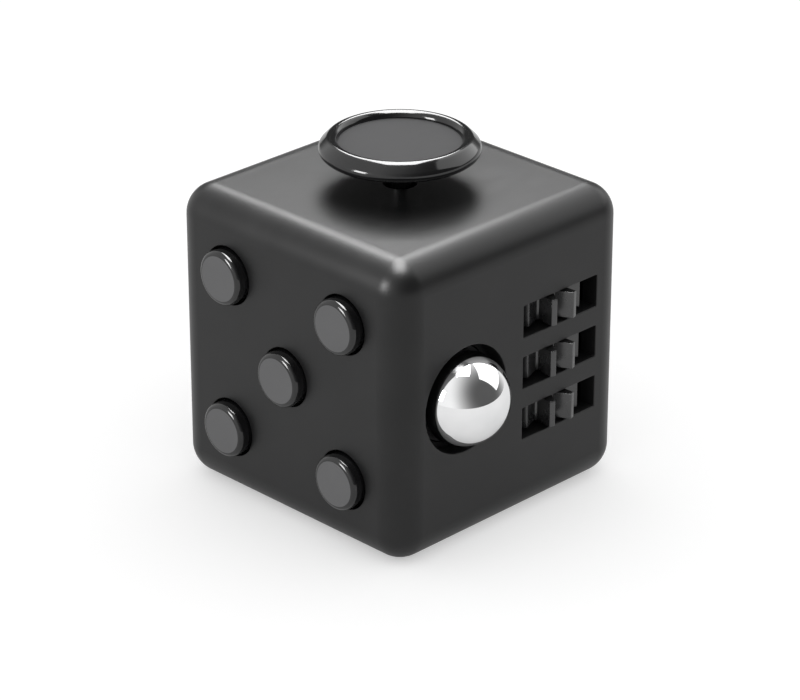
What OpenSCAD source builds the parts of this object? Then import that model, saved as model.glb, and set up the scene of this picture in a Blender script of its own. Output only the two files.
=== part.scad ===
// Fidget cube: a hand toy with a different small mechanism on each of its six faces.
// Millimetres. +Z is up. The origin is the centre of the bottom face, which the cube stands on.
// Front (-Y): five push buttons. Right (+X): a rolling ball and three toothed wheels.
// Top: a tilting thumb disc. Left (-X): a spinning dial. Back (+Y): a rocker switch.
// Bottom: a cover with a shallow thumb dip.

/* [Case] */
// Length of each side of the cube
cube_size = 33; // [33:0.5:36]
// Radius of the rounded outer edges
edge_radius = 3.35; // [2.5:0.05:3.6]
// Wall thickness of the case
wall = 2; // [2:0.1:2.2]

/* [Buttons] */
// Diameter of the holes the buttons stand in
button_hole_d = 6.34; // [6.2:0.02:6.5]
// Diameter of a button cap
button_cap_d = 5.9; // [5.6:0.05:5.9]
// Height of a button cap above the front face
button_rise = 1.3; // [1.2:0.1:1.8]
// Sideways distance from the centre button to the corner buttons
button_side = 8.35; // [8.2:0.05:8.4]
// Upward distance from the centre button to the corner buttons
button_lift = 8.65; // [8.4:0.05:8.7]
// How far a button travels when it is pressed
button_travel = 0.8; // [0.5:0.1:0.9]

/* [Ball] */
// Diameter of the steel ball
ball_d = 9.8; // [9.4:0.1:9.8]
// Diameter of the hole around the ball
ball_hole_d = 11.6; // [11.2:0.1:11.8]
// Distance of the ball from the middle of the right face
ball_offset = 7.1; // [7:0.05:7.2]
// Depth of the ball's centre below the right face
ball_depth = 0.5; // [0.4:0.1:0.8]

/* [Wheels] */
// Number of teeth on each wheel
wheel_teeth = 10; // [8:1:12]
// Radius of a wheel at its tooth tips
wheel_tip_r = 4.75; // [4.4:0.05:4.8]
// Radius of a wheel at the bottom of its teeth
wheel_root_r = 2.9; // [2.6:0.1:3.2]
// Thickness of a wheel
wheel_thick = 2.9; // [2.6:0.1:3]
// Distance between neighbouring wheels
wheel_pitch = 5.75; // [5.6:0.05:5.9]
// Height of the window each wheel stands in
slot_height = 3.55; // [3.5:0.05:3.7]
// Width of the window each wheel stands in
slot_width = 10.95; // [10.8:0.05:11.2]

/* [Thumb disc] */
// Diameter of the thumb disc
disc_d = 16.7; // [16:0.1:17]
// Height of the disc's rim above the top face
disc_height = 5.2; // [4.8:0.1:5.6]
// Diameter of the disc's stem
stem_d = 2; // [1.8:0.1:2.1]
// Diameter of the hole the stem passes through
stem_hole_d = 3.6; // [3.6:0.1:4]

/* [Dial] */
// Diameter of the dial
dial_d = 17.2; // [16:0.1:17.4]
// Height of the dial above the left face
dial_rise = 1.1; // [0.9:0.1:1.4]
// Number of click positions in one turn of the dial
dial_clicks = 12; // [8:1:16]

/* [Rocker] */
// Width of the rocker
rocker_width = 7.8; // [7:0.1:7.9]
// Tilt of the rocker to each side of the middle, in degrees
rocker_tilt = 9; // [6:1:9]

/* [Thumb dip] */
// Radius of the thumb dip in the bottom cover
dip_radius = 10; // [8:0.5:10.5]
// Depth of the thumb dip
dip_depth = 1.2; // [0.8:0.1:1.3]

/* [Hidden] */

$fn = 64;
cut = 0.5;                        // how far a cutting shape runs past the face it cuts
half = cube_size / 2;
inner = half - wall;              // distance from the cube's centre to a wall's inner face
play = 0.2;                       // gap around a loosely guided piece
shaft_play = 0.05;                // radial gap of a shaft in its bearing
cavity_r = 1.4;                   // radius of the cavity's upright corners

cover_half = 12.4;                // half the side of the bottom cover
cover_r = 2;                      // corner radius of the bottom cover
hook_width = 6;                   // width of a snap hook
hook_thick = 0.9;                 // thickness of a snap hook's arm
hook_reach = 0.8;                 // how far a snap hook catches behind the case floor
hook_tip = 0.3;                   // height of the flat tip of a snap hook
hook_top = wall + 1.6;            // height of the top of a snap hook
landing_r = 2;                    // radius of the corner pads the cover closes against
landing_at = 13.1;                // distance of the corner pads from the middle
landing_top = 3.6;                // height of the top of the corner pads

screw_r = 0.5;                    // radius of a screw's shank
screw_head_r = 1;                 // radius of a screw's head
screw_head_h = 0.8;               // height of a screw's head
screw_socket_r = 0.45;            // radius of the six-sided socket in a screw's head
seat_gap = 0.02;                  // gap between two pieces that rest on each other
weld = 0.1;                       // how far joined shapes of one piece run into each other
boss_r = 1.25;                    // radius of a screw boss on the case

button_r = button_cap_d / 2;
button_edge = 0.52;               // size of the rounded edge of a button cap
button_flange_r = 3.65;           // radius of the flange that keeps a button in the case
button_flange_h = 0.7;            // thickness of that flange
button_tip_r = 1.2;               // radius of the tip that presses the pad
button_tip_h = 0.7;               // length of that tip
press_room = 0.8;                 // room under a pressed button for the pad and its snap dome
button_tip_z = inner - play - button_flange_h - button_tip_h;
board_top = button_tip_z - button_travel - press_room;  // the board's outer face, from the cube's centre
board_thick = 1.2;
board_half_w = 11.8;
board_half_h = 12;
board_notch_x = 6.2;              // where the board's notch for the ball's tube begins
board_post_x = 4.2;               // sideways distance of the board's screw bosses from the middle
board_post_z = 4.35;              // upward distance of the board's screw bosses from the middle
pad_top = board_top + 0.6;        // outer face of the pad's sheet
pad_dome_r = 1.9;
pad_dome_tip_r = 1.4;
pad_dome_top = button_tip_z - 0.1;
pad_skin = 0.3;                   // thickness of a pad dome's skin
dome_steel = 0.12;                // thickness of a steel snap dome
click_dome_r = 1.2;               // radius of the snap dome under a button
click_dome_h = 0.45;

ball_r = ball_d / 2;
ball_x = half - ball_depth;       // distance of the ball's centre from the cube's centre
cup_r = 5.1;
cup_front = 14.4;
cup_back = 9.7;
ball_gap = 0.1;                   // gap between the ball and its cup
magnet_r = 2.2;
magnet_front = 10.7;
tube_in_r = 5.3;
tube_out_r = 6;
tube_front = 14.2;
dome_seat_r = 2.5;                // radius of the seat of the ball's snap dome
dome_seat_h = 0.8;
ball_dome_r = 2;
ball_dome_h = 0.75;
cup_spring_r = 3.8;
cup_spring_wire = 0.2;
cup_spring_turns = 3;

carrier_back = 6.2;
carrier_front = 7.4;
carrier_y0 = -9.6;
carrier_y1 = 13.6;
carrier_half_h = 9.5;             // half the height of the roll carrier's plate
carrier_post_ys = [-0.4, 12.5];   // where the carrier's screw bosses stand across the face
carrier_post_z = 8.3;             // upward distance of those bosses from the middle
carrier_screw = 4;                // length of the carrier's screws
short_screw = 2.6;                // length of the screws of the board and of the housing
arm_thick = 1.2;
arm_y0 = 3.25;
arm_y1 = 10.05;

wheel_x = 12.7;                   // position of the wheel axle, level with the windows' middle
wheel_y = 6.65;
wheel_phase = 16;                 // angle of one tooth from straight out, in degrees
tooth_root_w = 1.6;               // width of a tooth at its root
tooth_tip_w = 0.62;               // width of a tooth at its tip
tooth_sink = 0.3;                 // how deep a tooth's straight base sits in the wheel
axle_r = 0.75;
axle_play = 0.02;                 // radial gap of the wheel axle in its arms and spacers
spacer_r = 1.4;
spacer_gap = 0.1;                 // gap at each end of a spacer
wheel_zs = [half + wheel_pitch, half, half - wheel_pitch];

rim_top = cube_size + disc_height;
disc_r = disc_d / 2;
rim_r = 0.7;                      // radius of the rounded edges of the disc's rim
rim_lean = 0.6;                   // how far the rim's crest stands inside its outer edge
rim_drop = 1.3;                   // depth of the rim's outer edge below its crest
disc_floor = rim_top - 0.75;      // height of the disc's flat centre
disc_under = rim_top - 1.95;      // height of the disc's underside
stem_r = stem_d / 2;
neck_r = 2.4;                     // radius of the flared neck where it meets the disc
neck_h = 1.7;
pivot_z = cube_size - 3.6;        // height of the stick's tilting axes
hub_r = 2;
hub_half = 0.8;                   // half the height of the hub and of the gimbal ring
ring_in_r = 2.9;
ring_out_r = 4.4;
pin_r = 0.5;
pin_fit = 0.01;                   // radial gap of a pin that is pressed into its hole
foot_r = 2.6;
foot_top = pivot_z - 3.5;
foot_thick = 0.8;
tail_r = 1.1;
housing_in_r = 4.9;
housing_out_r = 6.2;
housing_plate_z = pivot_z - 1.8;
housing_plate_h = 1.2;
ring_room = 1.5;                  // depth of the room for the gimbal ring below its axes
housing_half = 9;
housing_post = 7.6;
cage_out_r = 5.3;
cage_in_r = 4.2;
cage_bottom = housing_plate_z - 6;
floor_thick = 0.8;
floor_plug_r = 4.1;               // radius of the plug that centres the floor in the cage
floor_plug_top = cage_bottom + 0.6;
stick_spring_r = 2.1;
stick_spring_wire = 0.22;
stick_spring_turns = 4;

dial_r = dial_d / 2;
dial_recess_r = dial_r + 0.3;
dial_recess = 0.7;                // depth of the recess the dial turns in
dial_back = half - dial_recess + 0.15;
dial_rim = 1.3;                   // width of the dial's raised rim
dial_bowl = 0.7;                  // depth of the dial's sunken middle
dial_edge = 0.5;                  // size of the rounded outer edge of the dial
dimple_r = 2.6;                   // radius of the ball shape that makes the finger dimple
dimple_at = 4.3;                  // distance of the finger dimple from the dial's middle
dimple_lift = 1.35;               // height of that ball shape's centre above the dial's rim
dial_hub_r = 2.6;
star_r = 5.6;
star_front = 14.2;
star_thick = 1.5;
star_back = star_front - star_thick;
star_notch_r = 0.9;
notch_at = 5.9;                   // distance of a notch's centre from the star's middle
spigot = 2.4;                     // side of the square end of the dial's hub
spigot_fit = 0.02;                // gap around the spigot in the star
dial_screw_len = 1.8;
washer_r = 1.8;
washer_h = 0.3;
leaf_thick = 0.35;
leaf_y = -6.4;                    // height of the leaf spring below the dial's axis
leaf_x = 6.2;                     // sideways distance of the leaf's screws from the dial's axis
leaf_z0 = 12.9;
leaf_h = 0.9;
leaf_nose = 0.25;                 // half the width of the tip of the leaf's nose
leaf_nose_base = 0.8;             // half the width of the nose where it meets the leaf
leaf_screw_len = 1.1;

rocker_pivot = 13.2;              // distance of the rocker's axis from the cube's centre
rocker_sweep_r = 7.6;             // radius the rocker's ends keep to about its axis
rocker_bottom = 12.2;
rocker_crease = 15.5;             // distance of the rocker's middle crease from the cube's centre
rocker_end = 16.6;
rocker_hole_h = 15.3;
rocker_hole_w = rocker_width + 0.5;
rocker_corner = 0.3;
stub_r = 0.6;
cheek_in = 4.2;
cheek_out = 5;
cheek_half = 2.2;
bracket_back = 9.4;
bracket_front = 10.6;
bracket_half_h = 11.2;
bracket_post = 9.9;
rocker_screw_len = 3;
ridge_r = 0.25;                   // radius of the ridge the plunger clicks over
ridge_half = 1.5;                 // half the length of that ridge
plunger_r = 0.75;
plunger_nose_r = 0.35;
plunger_nose_h = 0.4;
plunger_bore_r = 0.85;
plunger_tip = 11;
plunger_back = 13;
rocker_spring_r = 0.6;
rocker_spring_wire = 0.12;
rocker_spring_turns = 5;
bore_top = 15;
sleeve_r = 1.5;
sleeve_bottom = 11.6;

case_colour = [0.07, 0.07, 0.075];
inner_colour = [0.16, 0.16, 0.17];
steel_colour = [0.75, 0.76, 0.78];
pad_colour = [0.32, 0.33, 0.35];

// ---------- shared shapes ----------

// Put a face's mechanism in place: its local z runs outward from the cube's centre, its local y upward.
module front_face() translate([0, 0, half]) rotate([90, 0, 0]) children();
module right_face() translate([0, 0, half]) rotate([90, 0, 90]) children();
module left_face() translate([0, 0, half]) rotate([90, 0, -90]) children();
module back_face() translate([0, 0, half]) rotate([90, 0, 180]) children();

// A square of half side s with corners of radius r.
module round_square(s, r) {
    square([2 * s, 2 * (s - r)], center = true);
    square([2 * (s - r), 2 * s], center = true);
    for (x = [-1, 1], y = [-1, 1]) translate([x * (s - r), y * (s - r)]) circle(r);
}

// A rectangle of w by h with corners of radius r.
module round_rect(w, h, r) {
    square([w, h - 2 * r], center = true);
    square([w - 2 * r, h], center = true);
    for (x = [-1, 1], y = [-1, 1]) translate([x * (w / 2 - r), y * (h / 2 - r)]) circle(r);
}

// A solid from one height to another.
module slab(z0, z1) translate([0, 0, z0]) linear_extrude(z1 - z0) children();

// A round bar from one height to another.
module bar(r, z0, z1) translate([0, 0, z0]) cylinder(r = r, h = z1 - z0);

// A screw with its head's underside at local z = 0 and its shank upward.
module screw(length) {
    bar(screw_r, -screw_head_h / 2, length);
    difference() {
        bar(screw_head_r, -screw_head_h, 0);
        translate([0, 0, -screw_head_h - cut])
            cylinder(r = screw_socket_r, h = cut + screw_head_h / 2, $fn = 6);
    }
}

// A boss on the case with a blind hole for a screw, from its free end to the wall.
module boss(z0, z1) difference() {
    bar(boss_r, z0, z1);
    bar(screw_r + shaft_play, z0 - cut, z1 - wall / 2);
}

// A coil spring standing on local z = 0, of mean radius r.
module coil(r, wire, length, turns) {
    steps = 20;
    sides = 8;
    total = steps * turns;
    rise = (length - 2 * wire) / total;
    points = [for (i = [0 : total], k = [0 : sides - 1])
        let (a = 360 * i / steps, b = 360 * k / sides, d = r + wire * cos(b))
        [d * cos(a), d * sin(a), wire + rise * i + wire * sin(b)]];
    walls = [for (i = [0 : total - 1], k = [0 : sides - 1])
        [i * sides + k, i * sides + (k + 1) % sides,
         (i + 1) * sides + (k + 1) % sides, (i + 1) * sides + k]];
    start = [for (k = [sides - 1 : -1 : 0]) k];
    finish = [for (k = [0 : sides - 1]) total * sides + k];
    polyhedron(points, concat([start], walls, [finish]));
}

// A thin steel snap dome standing on local z = 0.
module snap_dome(r, h) {
    sphere_r = (r * r + h * h) / (2 * h);
    intersection() {
        difference() {
            translate([0, 0, h - sphere_r]) sphere(sphere_r, $fn = 160);
            translate([0, 0, h - sphere_r]) sphere(sphere_r - dome_steel, $fn = 160);
        }
        bar(r + cut, 0, h + cut);
    }
}

// The places of the five buttons on the front face, centre first.
button_places = [[0, 0], [-button_side, button_lift], [button_side, button_lift],
    [-button_side, -button_lift], [button_side, -button_lift]];
clicking_places = [button_places[0], button_places[1], button_places[4]];
board_posts = [for (x = [-1, 1], y = [-1, 1]) [x * board_post_x, y * board_post_z]];
carrier_posts = [for (y = carrier_post_ys, z = [-1, 1]) [y, z * carrier_post_z]];
housing_posts = [for (x = [-1, 1], y = [-1, 1]) [x * housing_post, y * housing_post]];
rocker_posts = [[0, bracket_post], [0, -bracket_post]];
leaf_posts = [[leaf_x, leaf_y], [-leaf_x, leaf_y]];

module at_each(places) for (p = places) translate([p[0], p[1], 0]) children();

// ---------- case ----------

// The outside of the cube, rounded along all its edges.
module cube_outside() {
    translate([0, 0, half]) intersection() {
        slab(-half, half) round_square(half, edge_radius);
        rotate([90, 0, 0]) slab(-half, half) round_square(half, edge_radius);
        rotate([0, 90, 0]) slab(-half, half) round_square(half, edge_radius);
    }
}

module case_bosses() {
    front_face() at_each(board_posts) boss(board_top, inner + cut);
    right_face() at_each(carrier_posts) boss(carrier_front, inner + cut);
    translate([0, 0, half]) at_each(housing_posts)
        boss(housing_plate_z + housing_plate_h - half, inner + cut);
    back_face() at_each(rocker_posts) boss(bracket_front, inner + cut);
    left_face() at_each(leaf_posts) boss(leaf_z0 + leaf_h, inner + cut);
}

module cover_landings() intersection() {
    for (x = [-1, 1], y = [-1, 1])
        translate([x * landing_at, y * landing_at, wall + weld])
            cylinder(r = landing_r, h = landing_top - wall - weld);
    translate([0, 0, half]) cube(2 * inner + wall, center = true);
}

module main_shell() {
    color(case_colour) difference() {
        union() {
            difference() {
                cube_outside();
                slab(wall, cube_size - wall) round_square(inner, cavity_r);
            }
            case_bosses();
            cover_landings();
        }
        slab(-cut, wall + weld / 2) round_square(cover_half + play, cover_r + play);
        front_face() at_each(button_places) bar(button_hole_d / 2, inner - cut, half + cut);
        right_face() translate([-ball_offset, 0, 0]) bar(ball_hole_d / 2, inner - cut, half + cut);
        for (z = wheel_zs) translate([half - wall / 2, wheel_y, z])
            cube([wall + 2 * cut, slot_width, slot_height], center = true);
        bar(stem_hole_d / 2, cube_size - wall - cut, cube_size + cut);
        left_face() {
            bar(dial_recess_r, half - dial_recess, half + cut);
            bar(dial_hub_r + shaft_play, inner - cut, half);
        }
        back_face() slab(inner - cut, half + cut)
            round_rect(rocker_hole_w, rocker_hole_h, rocker_corner);
    }
}

// One snap hook, at the cover's +X side.
module hook() {
    arm_out = cover_half - weld;
    arm_in = arm_out - hook_thick;
    barb_out = cover_half + hook_reach;
    barb_z = wall + hook_tip;
    translate([0, hook_width / 2, 0]) rotate([90, 0, 0]) linear_extrude(hook_width)
        polygon([[arm_in, wall / 2], [arm_out, wall / 2], [arm_out, barb_z - hook_tip / 2],
            [barb_out, barb_z], [barb_out, barb_z + hook_tip], [arm_out, hook_top], [arm_in, hook_top]]);
}

module bottom_cover() {
    dip_sphere = (dip_radius * dip_radius + dip_depth * dip_depth) / (2 * dip_depth);
    color(case_colour) difference() {
        union() {
            slab(0, wall) round_square(cover_half, cover_r);
            for (a = [0 : 90 : 270]) rotate([0, 0, a]) hook();
        }
        translate([0, 0, dip_depth - dip_sphere]) sphere(dip_sphere, $fn = 128);
    }
}

// ---------- buttons ----------

// Points of a rounded outer corner of size e, from the side of a round piece of radius r to its top.
function round_corner(r, top, e) = [for (a = [0 : 30 : 90]) [r - e + e * cos(a), top - e + e * sin(a)]];

// Outline of half a button, from its tip to its cap.
function button_outline(top, base) = concat([
    [0, button_tip_z],
    [button_tip_r, button_tip_z],
    [button_tip_r, base - button_flange_h],
    [button_flange_r, base - button_flange_h],
    [button_flange_r, base],
    [button_r, base]], round_corner(button_r, top, button_edge), [[0, top]]);

module button(place) {
    color(case_colour) front_face() translate([place[0], place[1], 0])
        rotate_extrude() polygon(button_outline(half + button_rise, inner - play));
}

module button_centre() button(button_places[0]);
module button_top_left() button(button_places[1]);
module button_top_right() button(button_places[2]);
module button_bottom_left() button(button_places[3]);
module button_bottom_right() button(button_places[4]);

// The board and the pad leave a notch for the ball's tube.
module tube_notch() translate([0, -tube_out_r - play, 0])
    square([cube_size, 2 * (tube_out_r + play)]);

module board_shape() difference() {
    square([2 * board_half_w, 2 * board_half_h], center = true);
    translate([board_notch_x, 0]) tube_notch();
}

// Soft pad with a hollow dome under each button.
module button_pad() {
    color(pad_colour) front_face() difference() {
        union() {
            slab(board_top + shaft_play, pad_top) board_shape();
            at_each(button_places) translate([0, 0, pad_top - weld])
                cylinder(r1 = pad_dome_r, r2 = pad_dome_tip_r, h = pad_dome_top - pad_top + weld);
        }
        at_each(button_places) translate([0, 0, board_top - cut])
            cylinder(r = pad_dome_r - 2 * pad_skin, h = pad_dome_top - pad_skin - board_top + cut);
        at_each(board_posts) bar(boss_r + play, board_top - cut, pad_top + cut);
    }
}

// Steel snap domes under the buttons that click.
module click_domes() {
    color(steel_colour) front_face() at_each(clicking_places)
        translate([0, 0, board_top + seat_gap]) snap_dome(click_dome_r, click_dome_h);
}

module button_board() {
    color(inner_colour) front_face() difference() {
        slab(board_top - board_thick, board_top) board_shape();
        at_each(board_posts) bar(screw_r + shaft_play, 0, half);
    }
}

module board_screws() {
    color(steel_colour) front_face() at_each(board_posts)
        translate([0, 0, board_top - board_thick - seat_gap]) screw(short_screw);
}

// ---------- ball and wheels ----------

module ball_place() right_face() translate([-ball_offset, 0, 0]) children();

module ball() {
    color(steel_colour) ball_place() translate([0, 0, ball_x]) sphere(ball_r, $fn = 96);
}

module ball_cup() {
    color(inner_colour) ball_place() difference() {
        bar(cup_r, cup_back, cup_front);
        translate([0, 0, ball_x]) sphere(ball_r + ball_gap, $fn = 96);
        bar(magnet_r + shaft_play, cup_back - cut, magnet_front + seat_gap);
    }
}

module ball_magnet() {
    color(steel_colour) ball_place() bar(magnet_r, cup_back, magnet_front);
}

module ball_spring() {
    color(steel_colour) ball_place() translate([0, 0, carrier_front + seat_gap])
        coil(cup_spring_r, cup_spring_wire, cup_back - carrier_front - 2 * seat_gap, cup_spring_turns);
}

module ball_click_dome() {
    color(steel_colour) ball_place() translate([0, 0, carrier_front + dome_seat_h + seat_gap])
        snap_dome(ball_dome_r, ball_dome_h);
}

// Plate that holds the ball's tube and the two arms of the wheel axle.
module roll_carrier() {
    color(inner_colour) difference() {
        union() {
            translate([carrier_back, carrier_y0, half - carrier_half_h])
                cube([carrier_front - carrier_back, carrier_y1 - carrier_y0, 2 * carrier_half_h]);
            ball_place() {
                bar(tube_out_r, carrier_back, tube_front);
            }
            for (s = [-1, 1]) translate([carrier_front - weld, arm_y0, half])
                translate([0, 0, s * (carrier_half_h - arm_thick / 2) - arm_thick / 2])
                    cube([inner - play - carrier_front, arm_y1 - arm_y0, arm_thick]);
        }
        ball_place() difference() {
            bar(tube_in_r, carrier_front, tube_front + cut);
            bar(dome_seat_r, carrier_front - cut, carrier_front + dome_seat_h);
        }
        translate([wheel_x, wheel_y, 0]) bar(axle_r + axle_play, 0, cube_size);
        right_face() at_each(carrier_posts) bar(screw_r + shaft_play, 0, half);
    }
}

module carrier_screws() {
    color(steel_colour) right_face() at_each(carrier_posts)
        translate([0, 0, carrier_back - seat_gap]) screw(carrier_screw);
}

module wheel_axle() {
    color(steel_colour) translate([wheel_x, wheel_y, 0])
        bar(axle_r, half - carrier_half_h, half + carrier_half_h);
}

// One tooth, pointing along +X.
module tooth() {
    base = wheel_root_r - tooth_sink;
    polygon([[0, -tooth_root_w / 2], [base, -tooth_root_w / 2], [wheel_tip_r, -tooth_tip_w / 2],
        [wheel_tip_r, tooth_tip_w / 2], [base, tooth_root_w / 2], [0, tooth_root_w / 2]]);
}

module wheel(z) {
    color(case_colour) translate([wheel_x, wheel_y, z])
        slab(-wheel_thick / 2, wheel_thick / 2) difference() {
            union() {
                circle(wheel_root_r);
                for (i = [0 : wheel_teeth - 1])
                    rotate(wheel_phase + 360 * i / wheel_teeth) tooth();
            }
            circle(axle_r + shaft_play);
        }
}

module wheel_top() wheel(wheel_zs[0]);
module wheel_middle() wheel(wheel_zs[1]);
module wheel_bottom() wheel(wheel_zs[2]);

// Tubes on the axle that keep the wheels apart.
module wheel_spacers() {
    arm_face = carrier_half_h - arm_thick;
    wheel_face = wheel_thick / 2;
    spans = [[-arm_face, -wheel_pitch - wheel_face], [-wheel_pitch + wheel_face, -wheel_face],
        [wheel_face, wheel_pitch - wheel_face], [wheel_pitch + wheel_face, arm_face]];
    color(inner_colour) translate([wheel_x, wheel_y, half]) for (s = spans) difference() {
        bar(spacer_r, s[0] + spacer_gap, s[1] - spacer_gap);
        bar(axle_r + axle_play, s[0], s[1]);
    }
}

// ---------- thumb stick ----------

// The disc's raised rim, thick at its outer edge and round at its crest.
module rim_outline() {
    crest = [disc_r - rim_r - rim_lean, rim_top - rim_r];
    edge = [disc_r - rim_r, rim_top - rim_drop];
    run = edge - crest;
    side = [run[1], -run[0]] * ((rim_r - seat_gap / 2) / norm(run));
    translate(crest) circle(rim_r);
    translate(edge) circle(rim_r);
    polygon([crest - side, edge - side, edge + side, crest + side]);
}

module thumb_stick() {
    color(case_colour) {
        difference() {
            union() {
                rotate_extrude() union() {
                    rim_outline();
                    translate([0, disc_under])
                        square([disc_r - rim_r, disc_floor - disc_under]);
                }
                translate([0, 0, disc_under - neck_h])
                    cylinder(r1 = stem_r, r2 = neck_r, h = neck_h + weld);
                bar(stem_r, pivot_z, disc_under);
                bar(hub_r, pivot_z - hub_half, pivot_z + hub_half);
                bar(tail_r, foot_top - foot_thick / 2, pivot_z);
                bar(foot_r, foot_top - foot_thick, foot_top);
            }
            translate([0, 0, pivot_z]) rotate([90, 0, 0])
                bar(pin_r + pin_fit, -hub_r - cut, hub_r + cut);
        }
    }
}

module stick_pin() {
    color(steel_colour) translate([0, 0, pivot_z]) rotate([90, 0, 0])
        bar(pin_r, -ring_out_r + play, ring_out_r - play);
}

module gimbal_ring() {
    color(inner_colour) translate([0, 0, pivot_z]) difference() {
        bar(ring_out_r, -hub_half, hub_half);
        bar(ring_in_r, -hub_half - cut, hub_half + cut);
        rotate([90, 0, 0]) bar(pin_r + shaft_play, -ring_out_r - cut, ring_out_r + cut);
        rotate([0, 90, 0]) bar(pin_r + pin_fit, -ring_out_r - cut, ring_out_r + cut);
    }
}

module gimbal_pins() {
    color(steel_colour) translate([0, 0, pivot_z]) for (s = [-1, 1])
        rotate([0, s * 90, 0]) bar(pin_r, ring_in_r + play / 2, housing_out_r - play);
}

// Round housing of the stick with its screw plate and the cage of the return spring.
module stick_housing() {
    color(inner_colour) difference() {
        union() {
            bar(housing_out_r, housing_plate_z, cube_size - wall - play / 2);
            slab(housing_plate_z, housing_plate_z + housing_plate_h)
                round_square(housing_half, boss_r);
            bar(cage_out_r, cage_bottom, housing_plate_z + weld);
        }
        bar(housing_in_r, pivot_z - ring_room, cube_size);
        bar(cage_in_r, cage_bottom - cut, cube_size);
        translate([0, 0, pivot_z]) rotate([0, 90, 0])
            bar(pin_r + shaft_play, -housing_out_r - cut, housing_out_r + cut);
        at_each(housing_posts) bar(screw_r + shaft_play, 0, cube_size);
    }
}

module housing_screws() {
    color(steel_colour) at_each(housing_posts)
        translate([0, 0, housing_plate_z - seat_gap]) screw(short_screw);
}

module spring_floor() {
    color(inner_colour) {
        bar(cage_out_r, cage_bottom - floor_thick, cage_bottom - seat_gap);
        bar(floor_plug_r, cage_bottom - floor_thick / 2, floor_plug_top);
    }
}

module stick_spring() {
    length = foot_top - foot_thick - floor_plug_top - 2 * seat_gap;
    color(steel_colour) translate([0, 0, floor_plug_top + seat_gap])
        coil(stick_spring_r, stick_spring_wire, length, stick_spring_turns);
}

// ---------- dial ----------

module dial() {
    top = half + dial_rise;
    color(case_colour) left_face() difference() {
        union() {
            rotate_extrude() polygon(concat([[0, dial_back], [dial_r, dial_back]],
                round_corner(dial_r, top, dial_edge), [[dial_r - dial_rim, top],
                [dial_r - dial_rim - dial_bowl, top - dial_bowl], [0, top - dial_bowl]]));
            bar(dial_hub_r, star_front + seat_gap, dial_back + weld);
            slab(star_back + 3 * weld, star_front + weld) square(spigot, center = true);
        }
        translate([0, dimple_at, top + dimple_lift]) sphere(dimple_r);
        bar(screw_r + shaft_play, star_back - cut, star_back + dial_screw_len + cut);
    }
}

// Notched wheel on the dial's hub: it keeps the dial in the case and gives its clicks.
module dial_star() {
    color(inner_colour) left_face() difference() {
        bar(star_r, star_back, star_front);
        slab(star_back - cut, star_front + cut) square(spigot + 2 * spigot_fit, center = true);
        for (i = [0 : dial_clicks - 1]) rotate([0, 0, -90 + 360 * i / dial_clicks])
            translate([notch_at, 0, 0]) bar(star_notch_r, star_back - cut, star_front + cut);
    }
}

module dial_screw() {
    color(steel_colour) left_face() translate([0, 0, star_back - seat_gap]) {
        screw(dial_screw_len);
        difference() {
            bar(washer_r, -washer_h, 0);
            bar(screw_head_r - shaft_play, -cut, cut);
        }
    }
}

// Leaf spring whose nose rests in a notch of the star.
module dial_leaf() {
    nose_top = -star_r + leaf_nose;
    low = leaf_y - leaf_thick / 2;
    high = leaf_y + leaf_thick / 2;
    color(steel_colour) left_face() difference() {
        union() {
            slab(leaf_z0, leaf_z0 + leaf_h) polygon([[-leaf_x, low], [leaf_x, low], [leaf_x, high],
                [leaf_nose_base, high], [leaf_nose, nose_top],
                [-leaf_nose, nose_top], [-leaf_nose_base, high], [-leaf_x, high]]);
            at_each(leaf_posts) bar(boss_r, leaf_z0, leaf_z0 + leaf_h);
        }
        at_each(leaf_posts) bar(screw_r + shaft_play, leaf_z0 - cut, leaf_z0 + leaf_h + cut);
    }
}

module leaf_screws() {
    color(steel_colour) left_face() at_each(leaf_posts)
        translate([0, 0, leaf_z0 - seat_gap]) screw(leaf_screw_len);
}

// ---------- rocker ----------

// The rocker's own frame: tilted to its rest side about its axis.
module rocker_place() back_face() translate([0, 0, rocker_pivot]) rotate([rocker_tilt, 0, 0])
    translate([0, 0, -rocker_pivot]) children();

// Side view of the rocker: y along the face, z outward.
module rocker_side() intersection() {
    translate([0, rocker_pivot]) circle(rocker_sweep_r, $fn = 128);
    polygon([[-rocker_sweep_r, rocker_bottom], [rocker_sweep_r, rocker_bottom],
        [rocker_sweep_r, rocker_end], [0, rocker_crease], [-rocker_sweep_r, rocker_end]]);
}

module rocker() {
    color(case_colour) rocker_place() difference() {
        union() {
            translate([-rocker_width / 2, 0, 0]) rotate([90, 0, 90])
                linear_extrude(rocker_width) rocker_side();
            translate([0, 0, rocker_pivot]) rotate([0, 90, 0])
                bar(stub_r, -cheek_out + play / 2, cheek_out - play / 2);
            bar(sleeve_r, sleeve_bottom, rocker_bottom + weld);
        }
        bar(plunger_bore_r, sleeve_bottom - cut, bore_top);
    }
}

module rocker_plunger() {
    color(steel_colour) rocker_place() rotate_extrude() polygon([[0, plunger_tip],
        [plunger_nose_r, plunger_tip], [plunger_r, plunger_tip + plunger_nose_h],
        [plunger_r, plunger_back], [0, plunger_back]]);
}

module rocker_spring() {
    color(steel_colour) rocker_place() translate([0, 0, plunger_back + seat_gap])
        coil(rocker_spring_r, rocker_spring_wire, bore_top - plunger_back - 2 * seat_gap,
            rocker_spring_turns);
}

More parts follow.
